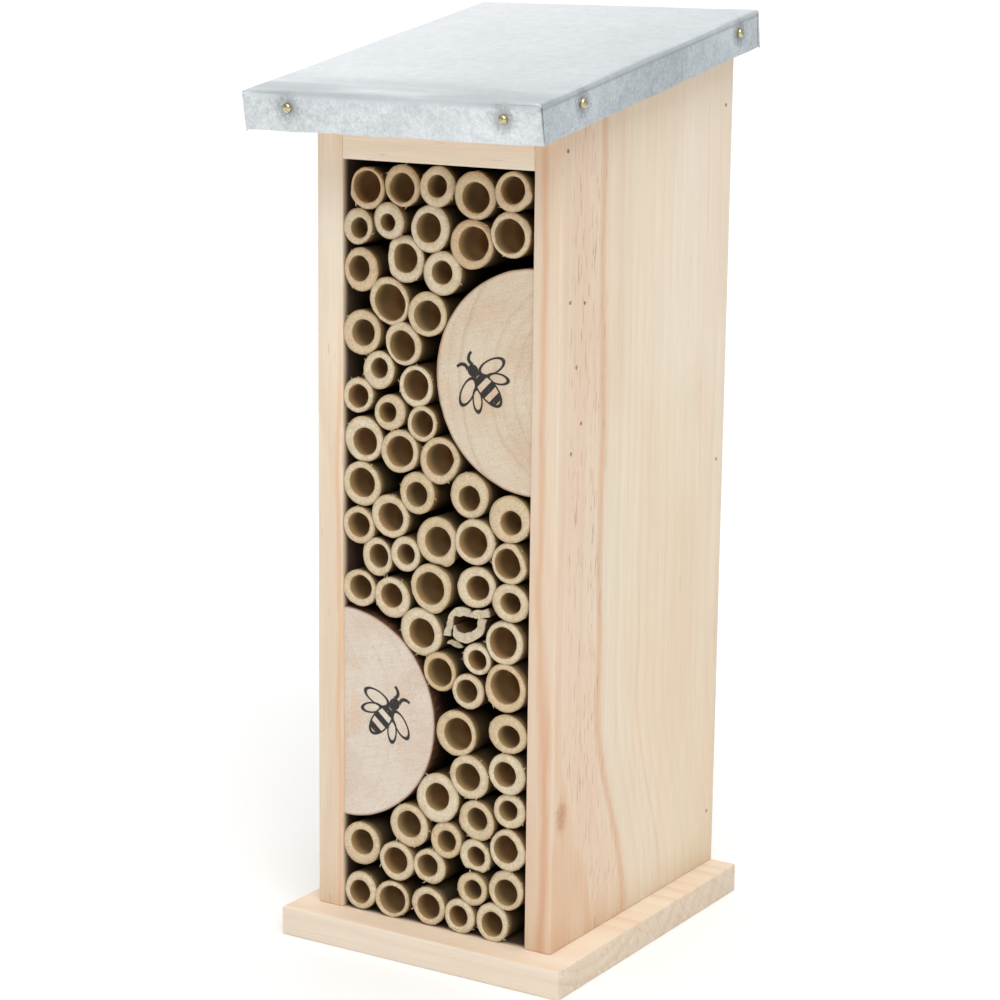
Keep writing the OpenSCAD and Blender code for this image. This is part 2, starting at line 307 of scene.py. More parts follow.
def galvanised(name, eave, slope, nails):
    """Zinc-coated sheet: a fine mottle under soft clouds, a faint spangle and dirt beside the nails.

    The eave is the brow of the roof; the skirts hang under the plane that rises from it."""
    zinc = Finish(name)
    x, y, z = zinc.parts(zinc.place)
    under = (y - eave.y / MM) * math.tan(slope) + eave.z / MM - z
    skirt = zinc.rise(under, 1.0, 3.0)
    crystals = zinc.add("ShaderNodeTexVoronoi", None, {"Vector": zinc.place, "Scale": 0.45}, "Color")
    tone = zinc.add("ShaderNodeSeparateColor", None, (crystals,))
    cloud = zinc.noise(zinc.place, 0.032, 4.0, 0.6)
    mottle = zinc.noise(zinc.place, 0.95, 3.0, 0.75)
    mix = tone["Red"] * 0.08 + (cloud - 0.5) * (0.18 + skirt * 0.36) + (mottle - 0.5) * (0.05 + skirt * 0.42)
    # Painted shade: the skirts are painted a darker grey than the top, and the top is painted darker towards
    # the right.
    low = zinc.blend(skirt, (200, 206, 209), (176, 183, 186))
    colour = zinc.blend(zinc.rise(mix + 0.30 - x * 0.0016 * (1 - skirt), 0.05, 0.60), low, (238, 242, 244))
    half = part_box("roof_sheet")[1].x / MM
    # Painted shade: a dark line just under each side fold.
    crease_shade = zinc.band(under, 2.2, 0.9) * zinc.rise(x.math("ABSOLUTE"), half - 1.5, half - 0.5)
    colour = zinc.blend(crease_shade * 0.45, colour, (150, 158, 162))
    # The top turns a darker grey in cloudy patches along its front 34 mm.
    front_band_noise = zinc.noise(zinc.vector(x * 0.02, y * 0.10, 3.0), 1.0, 2.0)
    drift = zinc.rise(y, eave.y / MM + 34, eave.y / MM + 2) * (1 - skirt) * zinc.rise(front_band_noise, 0.30, 0.62)
    colour = zinc.blend(drift * 0.75, colour, (184, 191, 194))
    soot = None
    for spot in nails:
        gap = zinc.add("ShaderNodeVectorMath", {"operation": "DISTANCE"}, (zinc.place, spot), "Value")
        near = zinc.rise(gap + (mottle - 0.5) * 6.0, 6.5, 1.6)
        soot = near if soot is None else soot.math("MAXIMUM", near)
    colour = zinc.blend(soot * 0.6, colour, (128, 134, 136))
    rough = 0.36 + tone["Green"] * 0.06 + cloud * 0.14
    return zinc.close(colour, rough, mottle * 0.25 + cloud, 0.10, 0.25, 0.7)


def metal(name, bright, dark, rough, grit=2.0, relief=0.15):
    """A small fastener's metal, duller in patches."""
    alloy = Finish(name)
    patch = alloy.noise(alloy.place, grit, 3.0, 0.6)
    colour = alloy.blend(alloy.rise(patch, 0.35, 0.7), bright, dark)
    return alloy.close(colour, rough + patch * 0.15, patch, relief, 0.1, 1.0)


def cane_finish(name, crushed=False):
    """Bamboo: the sawn ring with its vessel dots, the smooth skin outside and the lining of the bore.

    A crushed cane is greyer on its torn face, and behind its mouth it is painted dark brown all over as
    painted shade."""
    bamboo = Finish(name)
    along, seed, deep = (bamboo.attribute(key) for key in ("along", "seed", "deep"))
    wall = bamboo.rise(along, 0.40, 0.60, False)
    hue, hue_2, hue_3 = (bamboo.chance(seed + offset) for offset in (0.0, 31.7, 57.3))
    x, y, z = bamboo.parts(bamboo.place)
    fine = bamboo.noise(bamboo.vector(x * 1.3, y * 0.1, z * 1.3), 1.0, 3.0, 0.6)
    blotch = bamboo.noise(bamboo.vector(x * 0.25 + seed * 9, y * 0.04, z * 0.25), 1.0, 2.0)
    # The sawn face
    dots = bamboo.add("ShaderNodeTexVoronoi", None, {
        "Vector": bamboo.vector(x, 0.0, z), "Scale": 1.5, "Randomness": 0.9}, "Distance")
    vessel = bamboo.rise(dots, 0.30, 0.12) * (0.35 + wall * 0.65)
    face = bamboo.blend(hue, (226, 212, 184), (214, 192, 156))
    face = bamboo.blend(bamboo.rise(hue_3, 0.70, 0.95) * 0.45, face, (214, 176, 130))
    face = bamboo.blend(bamboo.rise(blotch, 0.45, 0.75) * 0.45, face, (202, 174, 134))
    grain = bamboo.noise(bamboo.place, 1.1, 4.0, 0.75)
    face = bamboo.shade(face, (0.42 if crushed else 0.44) + grain * (0.80 if crushed else 0.98))
    face = bamboo.blend(vessel * 0.20, face, (176, 140, 98))
    # Painted shade: the sawn face darkens towards its outer rim, where the chamfer rounds it over.
    face = bamboo.blend(bamboo.rise(wall, 0.72, 1.0) * 0.70, face, (168, 142, 102))
    face = bamboo.blend(bamboo.rise(wall, 0.12, 0.0) * 0.35, face, (200, 166, 120))
    # The skin outside, in shade among its neighbours
    skin = bamboo.blend(hue_2, (200, 172, 124), (174, 136, 88))
    skin = bamboo.blend(bamboo.rise(blotch, 0.5, 0.8) * 0.6, skin, (152, 114, 72))
    shadow = 0.70 - bamboo.rise(deep, 0.3, 4.0) * 0.54 - bamboo.rise(deep, 4, 18) * 0.12
    skin = bamboo.shade(skin, shadow)
    # The bore's lining: darker brown over the first 5 mm behind the lip, then painted paler deeper in, as
    # painted light where little light reaches
    lining = bamboo.blend(hue_2, (190, 150, 102), (178, 154, 108))
    pith = bamboo.blend(hue, (136, 102, 64), (130, 108, 72))
    lining = bamboo.blend(bamboo.rise(deep, 0.0, 5), lining, pith)
    lining = bamboo.blend(bamboo.rise(deep, 5, 14), lining, (214, 174, 122))
    colour = bamboo.blend(bamboo.rise(along, 0.385, 0.41), lining, face)
    colour = bamboo.blend(bamboo.rise(along, 0.592, 0.612), colour, skin)
    # Painted shade: behind its mouth the crushed cane turns dark brown.
    if crushed:
        colour = bamboo.blend(bamboo.rise(deep, 3.0, 8.0) * 0.92, colour, (92, 64, 40))
    sawn = bamboo.rise(along, 0.39, 0.41) * bamboo.rise(along, 0.62, 0.60)
    rough = 0.62 - bamboo.rise(along, 0.59, 0.62) * 0.2
    height = (fine + vessel * 0.5 + grain) * (0.15 + sawn)
    return bamboo.close(colour, rough + fine * 0.12, height, 0.55, 0.28, IOR=1.45)


def oval(u, v, middle, size, tilt=0.0):
    """Distance from an ellipse's middle as a share of its size: 1 on its outline."""
    c, s = math.cos(math.radians(tilt)), math.sin(math.radians(tilt))
    du, dv = u - middle[0], v - middle[1]
    along = (du * c + dv * s) / size[0]
    aside = (dv * c - du * s) / size[1]
    return (along ** 2.0 + aside ** 2.0) ** 0.5


INK_LINE = 0.037  # a wing's outline, as a share of the bee's size


def bee_ink(tree, x, z, middle, heading, size):
    """A plain bee in outline: head, banded body, two feelers and four wings, as a mask of ink."""
    c, s = math.cos(math.radians(heading)) / size, math.sin(math.radians(heading)) / size
    dx, dz = x - middle[0], z - middle[1]
    u = dx * c + dz * s
    v = dz * c - dx * s
    side = v.math("ABSOLUTE")
    body = oval(u, v, (-0.28, 0), (0.42, 0.21))
    stripes = tree.rise(((u + 0.06) * 22).math("SINE"), -0.25, 0.05)
    ink = tree.rise(body, 1.0, 0.92) * stripes
    ink = ink.math("MAXIMUM", tree.rise((body - 1.0).math("ABSOLUTE"), 0.13, 0.06))
    ink = ink.math("MAXIMUM", tree.rise(oval(u, v, (0.26, 0), (0.15, 0.14)), 1.0, 0.9))
    for root, reach, tilt in (((0.02, 0.42), (0.33, 0.15), 108), ((-0.27, 0.36), (0.25, 0.11), 140)):
        wing = oval(u, side, root, reach, tilt)
        line = INK_LINE / reach[1]
        rim = tree.rise((wing - 1.0).math("ABSOLUTE"), line * 0.75, line * 0.35)
        ink = ink.math("MAXIMUM", rim * tree.rise(body, 0.95, 1.05))
    feeler = oval(u, side, (0.40, 0.30), (0.17, 0.24), 20)
    curve = tree.rise((feeler - 1.0).math("ABSOLUTE"), 0.24, 0.12)
    curve = curve * tree.rise(u, 0.34, 0.38) * tree.rise(side, 0.27, 0.24)
    return ink.math("MAXIMUM", curve)


def log_finish(name, pith, bees, tones, rings_share, seed):
    """A sawn half log: a pale face with faint growth rings, flecks and saw marks, thin bark round it."""
    wood = Finish(name)
    x, y, z = wood.parts(wood.place)
    bend = (wood.noise(wood.vector(x * 0.03, seed, z * 0.03), detail=2.0) - 0.5) * 9
    span = ((x - pith[0]) ** 2.0 + (z - pith[1]) ** 2.0) ** 0.5 + bend
    rings = span / 4.2
    ring = rings.math("FLOOR")
    part = rings - ring
    late = wood.rise(part, 0.45, 0.9) * wood.rise(part, 1.0, 0.9) * wood.chance(ring + seed) ** 2.0
    grit = wood.noise(wood.vector(x * 1.1, y * 1.1, z * 1.1), 1.0, 4.0, 0.7)
    saw = wood.noise(wood.vector(x * 0.06 + z * 0.05, 0.0, z * 1.1 - x * 0.3 + seed), 1.0, 2.0)
    speck = wood.noise(wood.place, 2.3, 2.0, 0.6)
    cloud = wood.noise(wood.vector(x * 0.06, seed, z * 0.06), detail=3.0)
    face = wood.blend(wood.rise(cloud, 0.35, 0.7), *tones)
    stain = wood.noise(wood.vector(x * 0.11, seed + 4, z * 0.07), detail=2.0)
    face = wood.blend(wood.rise(stain, 0.58, 0.74) * 0.35, face, (222, 178, 142))
    face = wood.blend(late * rings_share, face, (176, 144, 112))
    for flecks, start, full, share, tint in (
            (grit, 0.56, 0.74, 0.50, (166, 138, 112)), (grit, 0.42, 0.30, 0.35, (236, 226, 210)),
            (speck, 0.56, 0.70, 0.45, (172, 144, 118)), (speck, 0.44, 0.32, 0.40, (240, 230, 214))):
        face = wood.blend(wood.rise(flecks, start, full) * share, face, tint)
    face = wood.shade(face, 0.91 + saw * 0.18)
    for middle, heading, size in bees:
        ink = bee_ink(wood, x, z, middle, heading, size) * wood.rise(grit, 0.20, 0.38)
        face = wood.blend(ink * 0.97, face, (17, 15, 17))
    edge = wood.attribute("edge")
    rough_bark = wood.noise(wood.vector(x * 0.4, y * 0.12, z * 0.4), 1.0, 5.0, 0.65)
    bark = wood.blend(wood.rise(rough_bark, 0.3, 0.7), (84, 52, 34), (140, 94, 62))
    # Painted shade: the bark is painted darker, most of all beyond the first millimetres behind the front.
    bark = wood.shade(bark, 0.7 - wood.rise(y, FRONT + 1, FRONT + 9) * 0.55)
    colour = wood.blend(wood.rise(edge, 0.965, 0.99) * 0.8, face, (128, 88, 60))
    colour = wood.blend(wood.rise(edge, 0.99, 1.01), colour, bark)
    height = grit * 0.4 + saw * 0.5 - late * 0.2 + wood.rise(edge, 0.99, 1.01) * rough_bark * 3
    return wood.close(colour, 0.62 + grit * 0.15, height, 0.4, 0.3, IOR=1.45)


# ---- Mesh helpers ----

def make_piece(name, mesh, material, slot, *nodes):
    """A finished mesh becomes a piece that rides on the hotel and stands for its CAD nodes."""
    mesh.materials.clear()
    mesh.materials.append(material)
    piece = add_object(name, mesh)
    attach(piece, "root")
    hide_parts(*nodes)


def bake_modifiers(thing):
    """Returns the evaluated mesh of an object and removes the object."""
    bpy.context.view_layer.update()
    result = bpy.data.meshes.new_from_object(thing.evaluated_get(bpy.context.evaluated_depsgraph_get()))
    bpy.data.objects.remove(thing)
    return result


def smooth(mesh, angle=35):
    for face in mesh.polygons:
        face.use_smooth = True
    mesh.set_sharp_from_angle(angle=math.radians(angle))


def outwards(mesh):
    shape = bmesh.new()
    shape.from_mesh(mesh)
    bmesh.ops.recalc_face_normals(shape, faces=shape.faces)
    shape.to_mesh(mesh)
    shape.free()


def take_mesh(shape, name):
    """A mesh with the given name from a bmesh, which is freed."""
    mesh = bpy.data.meshes.new(name)
    shape.to_mesh(mesh)
    shape.free()
    return mesh


def loose_parts(node):
    """The corner points of each separate solid in a CAD node."""
    shape = bmesh.new()
    shape.from_mesh(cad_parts[node].data)
    bmesh.ops.remove_doubles(shape, verts=shape.verts, dist=1e-6)
    found, parts = set(), []
    for start in shape.verts:
        if start in found:
            continue
        found.add(start)
        island, queue = [], [start]
        while queue:
            corner = queue.pop()
            island.append(corner.co.copy())
            for edge in corner.link_edges:
                other = edge.other_vert(corner)
                if other not in found:
                    found.add(other)
                    queue.append(other)
        parts.append(island)
    shape.free()
    return parts


def extent(points, axis):
    values = [point[axis] for point in points]
    return min(values), max(values)


# ---- Boards ----

def board(node, material, slot, outline=None, ease=0.5, holes=()):
    """A planed board with eased edges. The outline is its side view; without one it fills the node's box."""
    low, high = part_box(node)
    outline = outline or [(low.y, low.z), (high.y, low.z), (high.y, high.z), (low.y, high.z)]
    shape = bmesh.new()
    near = [shape.verts.new((low.x, y, z)) for y, z in outline]
    far = [shape.verts.new((high.x, y, z)) for y, z in outline]
    shape.faces.new(near)
    shape.faces.new(list(reversed(far)))
    for i in range(len(near)):
        j = (i + 1) % len(near)
        shape.faces.new((near[i], far[i], far[j], near[j]))
    bmesh.ops.recalc_face_normals(shape, faces=shape.faces)
    work = add_object(node, take_mesh(shape, node))
    edges = work.modifiers.new("eased edges", "BEVEL")
    edges.width = ease * MM
    edges.segments = 3
    edges.limit_method = "ANGLE"
    drills = []
    for spot, aim, width, depth in holes:
        drill = rod(spot, aim, width, depth)
        drills.append(drill)
        cut = work.modifiers.new("hole", "BOOLEAN")
        cut.operation = "DIFFERENCE"
        cut.solver = "EXACT"
        cut.object = drill
    mesh = bake_modifiers(work)
    for drill in drills:
        bpy.data.objects.remove(drill)
    smooth(mesh, 40)
    make_piece(node, mesh, material, slot, node)


def rod(spot, aim, width, depth):
    """A short rod for cutting a hole: it starts outside the face and runs along aim."""
    shape = bmesh.new()
    aim = Vector(aim)
    turn = aim.to_track_quat("Z", "Y").to_matrix().to_4x4()
    place = Matrix.Translation(Vector(spot) + aim * (depth / 2 - 1) * MM) @ turn
    bmesh.ops.create_cone(shape, cap_ends=True, segments=20, radius1=width / 2 * MM,
                          radius2=width / 2 * MM, depth=(depth + 2) * MM, matrix=place)
    return add_object("drill", take_mesh(shape, "drill"))


def heads(node, axis, sign):
    """The middle of each fastener's outer end in a CAD node."""
    spots = []
    for part in loose_parts(node):
        middle = Vector([sum(extent(part, i)) / 2 for i in range(3)])
        low, high = extent(part, axis)
        middle[axis] = high if sign > 0 else low
        spots.append(middle)
    return spots


def slanted(node):
    """The side view of a board whose top edge follows the roof."""
    points = [v.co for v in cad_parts[node].data.vertices]
    y0, y1 = extent(points, 1)
    z0 = extent(points, 2)[0]
    at_front = max(p.z for p in points if p.y < y0 + 1e-5)
    at_back = max(p.z for p in points if p.y > y1 - 1e-5)
    return [(y0, z0), (y1, z0), (y1, at_back), (y0, at_front)]


def make_boards():
    base_front, base_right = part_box("base_board")[0].y / MM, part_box("base_board")[1].x / MM
    foot, tall = -20, (-20, 300)  # where a streak's run starts, and a run over the whole height
    base_pine = pine("base_pine", "x", (-30, 60), 6.0, (238, 219, 194), (234, 210, 180), (208, 164, 124), 0.5,
                     faces=[(1, base_front, (229, 215, 198), 0.75), (0, base_right, (212, 197, 178), 0.6),
                            (2, FLOOR, (244, 228, 208), 0.35)],
                     marks=0.3, sawn=base_right, seed=4.2)
    right_pine = pine("right_board_pine", "z", (20, -150), 6.4, (229, 215, 193), (227, 206, 181),
                      (214, 178, 144), 0.34, bend=(8, 88, 21, -42),
                      streaks=[(30, 44, 0.35, (234, 216, 186), *tall),
                               (-30, 20, 0.62, (226, 196, 170), *tall),
                               (-15, 3.4, 0.55, (214, 162, 120), *tall),
                               (-40, 4, 0.15, (220, 166, 122), foot, 150),
                               (-41, 5, 0.22, (212, 156, 108), foot, 62),
                               (-34, 11, 0.42, (210, 158, 110), foot, 16),
                               (12, 1.6, 0.18, (212, 166, 128), 10, 140),
                               (46, 34, 0.40, (222, 198, 164), foot, 150),
                               (42, 50, 0.35, (236, 227, 214), 190, 400)],
                      front_streaks_and_light=[(RIGHT + 4.5, 2.2, 0.72, (214, 160, 112), 60, 320),
                                     (RIGHT + 6.5, 2.8, 0.85, (206, 146, 98), -30, 130)],
                      faces=[(1, FRONT, (226, 200, 176), 0.35)],
                      knots=[(46, -36, 56, 4.0)], marks=0.15, dashed=(-36, -13), seed=1.3)
    left_pine = pine("left_board_pine", "z", (-10, -160), 5.6, (236, 220, 197), (231, 210, 184),
                     (212, 166, 126), 0.36, seed=7.7,
                     front_streaks_and_light=[(LEFT - 5, 10, 0.50, (216, 192, 164), -30, 190),
                                    (LEFT - 1.6, 1.7, 0.50, (222, 170, 126), -30, 240),
                                    # Painted light: this last front streak lightens the top of the front
                                    # edge, under the roof's shadow.
                                    (LEFT - 5, 10, 0.50, (250, 240, 222), 220, 400)])
    rail_pine = pine("rail_pine", "x", (-150, 240), 4.0, (242, 230, 211), (238, 221, 197), (222, 192, 156),
                     0.3, seed=2.9)
    back_pine = pine("back_pine", "z", (-60, 160), 6.5, (232, 212, 184), (226, 196, 160), (206, 152, 110),
                     0.5, seed=9.1)
    under = [(Vector((spot.x, spot.y, 0)), (0, 0, 1), 6.2, 0.6) for spot in heads("base_screws", 2, -1)]
    board("base_board", base_pine, "base_pine", ease=0.6, holes=under)
    for side, wood, node, pins in (
            (-1, left_pine, "left_side_board", ("left_side_brads", "lower_log_brads")),
            (1, right_pine, "right_side_board", ("right_side_brads", "upper_log_brads"))):
        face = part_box(node)[1 if side > 0 else 0].x
        spots = [spot for pin in pins for spot in heads(pin, 0, side)]
        holes = [(Vector((face, s.y, s.z)), (-side, 0, 0), 1.5, 1.6) for s in spots]
        board(node, wood, "pine", slanted(node), 0.5, holes)
    for node, wood in (("back_panel", back_pine), ("top_rail", rail_pine)):
        board(node, wood, "pine", slanted(node), 0.4)


# ---- Fasteners ----

def new_tree(name, sizes):
    """A Geometry Nodes tree with a geometry input and named sizes; returns it with its input wires."""
    group = bpy.data.node_groups.new(name, "GeometryNodeTree")
    group.interface.new_socket("Geometry", in_out="INPUT", socket_type="NodeSocketGeometry")
    group.interface.new_socket("Geometry", in_out="OUTPUT", socket_type="NodeSocketGeometry")
    for size in sizes:
        group.interface.new_socket(size, in_out="INPUT", socket_type="NodeSocketFloat")
    tree = Tree(group)
    return tree, tree.add("NodeGroupInput")


def run_tree(name, tree, host, values):
    """Runs a tree on a host mesh and returns the plain mesh that it makes."""
    thing = add_object(name, host)
    maker = thing.modifiers.new(name, "NODES")
    maker.node_group = tree.node_tree
    for item in tree.node_tree.interface.items_tree:
        if item.in_out == "INPUT" and item.name in values:
            maker[item.identifier] = values[item.name]
    return bake_modifiers(thing)


def host_points(name, spots, **attributes):
    """A mesh of loose points that carry attributes."""
    mesh = bpy.data.meshes.new(name)
    mesh.from_pydata(spots, [], [])
    for key, values in attributes.items():
        vector = hasattr(values[0], "__len__")
        layer = mesh.attributes.new(key, "FLOAT_VECTOR" if vector else "FLOAT", "POINT")
        if vector:
            layer.data.foreach_set("vector", [c for value in values for c in value])
        else:
            layer.data.foreach_set("value", values)
    return mesh


def turned_grid(tree, around, rings):
    """A grid whose points carry their share of the turn and of the way along a profile."""
    grid = tree.add("GeometryNodeMeshGrid", None, {
        "Size X": 1.0, "Size Y": 1.0, "Vertices X": around + 1, "Vertices Y": rings + 1})
    place = tree.add("GeometryNodeInputPosition")
    x, y, _ = tree.parts(place)
    for key, value in (("turn", x + 0.5), ("along", y + 0.5)):
        grid = tree.add("GeometryNodeStoreNamedAttribute", {"data_type": "FLOAT", "domain": "POINT"}, {
            "Geometry": grid, "Name": key, "Value": value})
    return grid


def read(tree, name, kind="FLOAT"):
    return tree.add("GeometryNodeInputNamedAttribute", {"data_type": kind}, {"Name": name})


def end_tree(tree, geometry, material):
    geometry = tree.add("GeometryNodeMergeByDistance", None, {"Geometry": geometry, "Distance": 2e-6})
    geometry = tree.add("GeometryNodeSetMaterial", None, {"Geometry": geometry, "Material": material})
    tree.add("NodeGroupOutput", None, {"Geometry": geometry})


def fastener_tree(material, seed):
    """Round-headed pins: a domed head, a lip and a pointed shank, aimed along each point's own vector."""
    tree, sizes = new_tree("fasteners", ("Head radius", "Dome height", "Shank radius", "Length"))
    grid = turned_grid(tree, 24, 22)
    turn, along = read(tree, "turn"), read(tree, "along")
    head, dome = sizes["Head radius"], sizes["Dome height"]
    shank, length = sizes["Shank radius"], sizes["Length"]
    angle = turn * math.tau
    tilt = tree.rise(along, 0.0, 0.5, False) * (math.pi / 2)
    neck, point = tree.rise(along, 0.54, 0.62, False), tree.rise(along, 0.86, 1.0, False)
    radius = head * tilt.math("SINE") - (head - shank) * neck - shank * point
    height = dome * tilt.math("COSINE") - dome * 0.25 * tree.rise(along, 0.5, 0.54, False)
    height = height - length * tree.rise(along, 0.62, 0.86, False) - shank * 2 * point
    spot = tree.vector(radius * angle.math("COSINE"), radius * angle.math("SINE"), height)
    grid = tree.add("GeometryNodeSetPosition", None, {"Geometry": grid, "Position": spot})
    aim = read(tree, "aim", "FLOAT_VECTOR")
    aim = tree.add("FunctionNodeAlignRotationToVector", {"axis": "Z"}, {"Vector": aim})
    wear = tree.add("FunctionNodeRandomValue", {"data_type": "FLOAT"}, {2: 0.94, 3: 1.03, "Seed": seed}, 1)
    wear = tree.vector(wear, wear, wear)
    pins = tree.add("GeometryNodeInstanceOnPoints", None, {
        "Points": sizes["Geometry"], "Instance": grid, "Rotation": aim, "Scale": wear})
    pins = tree.add("GeometryNodeRealizeInstances", None, {"Geometry": pins})
    end_tree(tree, pins, material)
    return tree


def fasteners(node, tree, spots, aim, sizes, material, slot):
    host = host_points(node, spots, aim=[aim] * len(spots))
    mesh = run_tree(node, tree, host, sizes)
    outwards(mesh)
    smooth(mesh, 50)
    make_piece(node, mesh, material, slot, node)


# ---- Canes ----

def cane_facts():
    """Place and sizes of every cane, read from the CAD nodes, in the order of their names."""
    facts = []
    for node in sorted(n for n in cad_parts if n.startswith("cane_pair_")):
        for part in sorted(loose_parts(node), key=lambda points: extent(points, 0)):
            (x0, x1), (y0, y1), (z0, z1) = (extent(part, i) for i in range(3))
            x, z, outer = (x0 + x1) / 2, (z0 + z1) / 2, (x1 - x0) / 2
            inner = [p for p in part if math.hypot(p.x - x, p.z - z) < outer - 0.0008]
            bore = max(math.hypot(p.x - x, p.z - z) for p in inner)
            facts.append({"node": node, "mouth": (x, y0 - 0.5 * MM, z), "outer": outer, "bore": bore,
                          "bore_depth": extent(inner, 1)[1] - y0, "length": y1 - y0})
    return facts


def cane_tree(material):
    """Bamboo tubes: each is a grid wrapped round its own bore, sawn face and skin.

    Along runs from the bore's floor (0) over the bore's lip (0.40) and the sawn face to the skin's edge
    (0.60), and then back along the skin to the middle of the far end (1)."""
    tree, sizes = new_tree("canes", ("Chamfer", "Saw roughness"))
    grid = turned_grid(tree, 48, 50)
    tubes = tree.add("GeometryNodeInstanceOnPoints", None, {"Points": sizes["Geometry"], "Instance": grid})
    tubes = tree.add("GeometryNodeRealizeInstances", None, {"Geometry": tubes})
    turn, along, seed = read(tree, "turn"), read(tree, "along"), read(tree, "seed")
    angle = turn * math.tau
    c, s = angle.math("COSINE"), angle.math("SINE")
    wall = tree.rise(along, 0.40, 0.60, False)
    outer, bore = read(tree, "outer"), read(tree, "bore")
    squeeze, lean = read(tree, "squeeze"), read(tree, "lean")
    flat = 1.025 + squeeze * ((angle - lean) * 2).math("COSINE") * 0.5
    lumps = tree.noise(tree.vector(c * 1.1, s * 1.1, seed * 7.3), 1.0, 1.0) - 0.5
    knobs = tree.noise(tree.vector(c * 4.2, s * 4.2, seed * 2.3 + 9), 1.0, 1.0) - 0.5
    pits = tree.noise(tree.vector(c * 1.6, s * 1.6, seed * 3.1 + 40), 1.0, 2.0) - 0.5
    dent, dent_at = read(tree, "dent"), read(tree, "dent_at")
    hollow = tree.rise((angle - dent_at).math("COSINE"), 0.72, 1.0) * dent
    outer_r = outer * (flat + lumps * 0.07 + knobs * 0.045) - hollow * (1 - tree.rise(along, 0.60, 0.8))
    bore_r = bore * (1.02 + pits * 0.10 + (flat - 1) * 0.8) - hollow * 0.7
    burr = tree.rise((angle - read(tree, "burr_at")).math("COSINE"), 0.90, 1.0) * read(tree, "burr")
    outer_r = outer_r + burr * tree.rise(along, 0.46, 0.60) * tree.rise(along, 0.74, 0.62)
    radius = bore_r * tree.rise(along, 0.0, 0.06, False) + (outer_r - bore_r) * wall
    radius = radius - outer_r * tree.rise(along, 0.94, 1.0, False)
    ragged = tree.noise(tree.vector(c * 3.5, s * 3.5, seed * 5.7 + along * 9), 1.0, 3.0, 0.7) - 0.5
    tilt = (c * read(tree, "saw_x") + s * read(tree, "saw_z")) * radius
    depth = read(tree, "bore_depth") * (1 - tree.rise(along, 0.06, 0.40, False)) ** 2.6
    depth = depth + (read(tree, "length") - sizes["Chamfer"] * 3) * tree.rise(along, 0.60, 0.94, False) ** 2.6
    depth = depth + sizes["Chamfer"] * 0.7 * (1 - tree.rise(along, 0.385, 0.46))
    depth = depth + sizes["Chamfer"] * tree.rise(along, 0.52, 0.615)
    near = tree.rise(along, 0.30, 0.40) * tree.rise(along, 0.70, 0.60)
    depth = depth + (ragged * sizes["Saw roughness"] + tilt) * near
    chip, chip_at = read(tree, "chip"), read(tree, "chip_at")
    bite = tree.rise((angle - chip_at).math("COSINE") + ragged * 0.25, 0.86, 0.97)
    depth = depth + bite * chip * near * tree.rise(along, 0.46, 0.60)
    shift = (1 - wall) * read(tree, "aside")
    mouth = tree.parts(read(tree, "mouth", "FLOAT_VECTOR"))
    place = tree.vector(mouth[0] + radius * c + shift * read(tree, "aside_x"), mouth[1] + depth,
                        mouth[2] + radius * s + shift * read(tree, "aside_z"))
    tubes = tree.add("GeometryNodeSetPosition", None, {"Geometry": tubes, "Position": place})
    tubes = tree.add("GeometryNodeStoreNamedAttribute", {"data_type": "FLOAT", "domain": "POINT"}, {
        "Geometry": tubes, "Name": "deep", "Value": (mouth[1] + depth) / MM - FRONT})
    end_tree(tree, tubes, material)
    return tree


# Canes with a marked dent, a chipped rim or a torn lip: across, height, direction in degrees, size
DENTS = [(-12.5, 234, 180, 0.7), (28.5, 139, 30, 0.7), (29, 42.5, 40, 0.6), (1.5, 169.5, 320, 0.7)]
CHIPS = [(-27, 256, 165, 1.2), (28.5, 244.5, 30, 1.0), (17, 38, 265, 1.8), (-12, 234, 95, 1.0)]
BURRS = [(0.5, 143, 305, 1.5), (-1.5, 127, 285, 0.7), (28, 258, 345, 0.8), (17, 50.5, 200, 0.6)]


def nearest(facts, x, z):
    return min(facts, key=lambda f: math.hypot(f["mouth"][0] / MM - MIDDLE - x, f["mouth"][2] / MM - z))


def add_splinters(mesh, canes, dice):
    """Loose fibres that stand out from the canes' sawn lips: thin bent spikes of three sides."""
    shape = bmesh.new()
    shape.from_mesh(mesh)
    layers = {key: shape.verts.layers.float[key] for key in ("along", "seed", "deep")}
    thirds = [math.tau * k / 3 for k in range(3)]
    for cane in canes:
        for _ in range(dice.randint(1, 5)):
            angle = dice.uniform(0, math.tau)
            out = Vector((math.cos(angle), 0, math.sin(angle)))
            round_it = Vector((-out.z, 0, out.x)) * dice.choice((-1, 1))
            way = out + round_it * dice.uniform(0.2, 1.4)
            way = (way + Vector((0, dice.uniform(-0.5, 0.2), 0))).normalized()
            length, width = dice.uniform(0.7, 1.9) * MM, dice.uniform(0.10, 0.22) * MM
            root = Vector(cane["mouth"]) + out * (cane["outer"] - 0.25 * MM) + Vector((0, 0.8 * MM, 0))
            middle = root + way * length * 0.6
            tip = middle + (way + round_it * 0.6).normalized() * length * 0.4
            rings = []
            for spot, size in ((root, 1.3), (middle, 0.8)):
                across = way.cross(Vector((0, 1, 0))).normalized()
                other = way.cross(across)
                sides = [across * math.cos(t) + other * math.sin(t) for t in thirds]
                rings.append([shape.verts.new(spot + side * width * size) for side in sides])
            end = shape.verts.new(tip)
            for k in range(3):
                n = (k + 1) % 3
                shape.faces.new((rings[0][k], rings[0][n], rings[1][n], rings[1][k]))
                shape.faces.new((rings[1][k], rings[1][n], end))
            shape.faces.new(rings[0])
            for vert in (*rings[0], *rings[1], end):
                vert[layers["along"]] = 0.54
                vert[layers["seed"]] = cane["seed"]
                vert[layers["deep"]] = 0.5
    shape.to_mesh(mesh)
    shape.free()


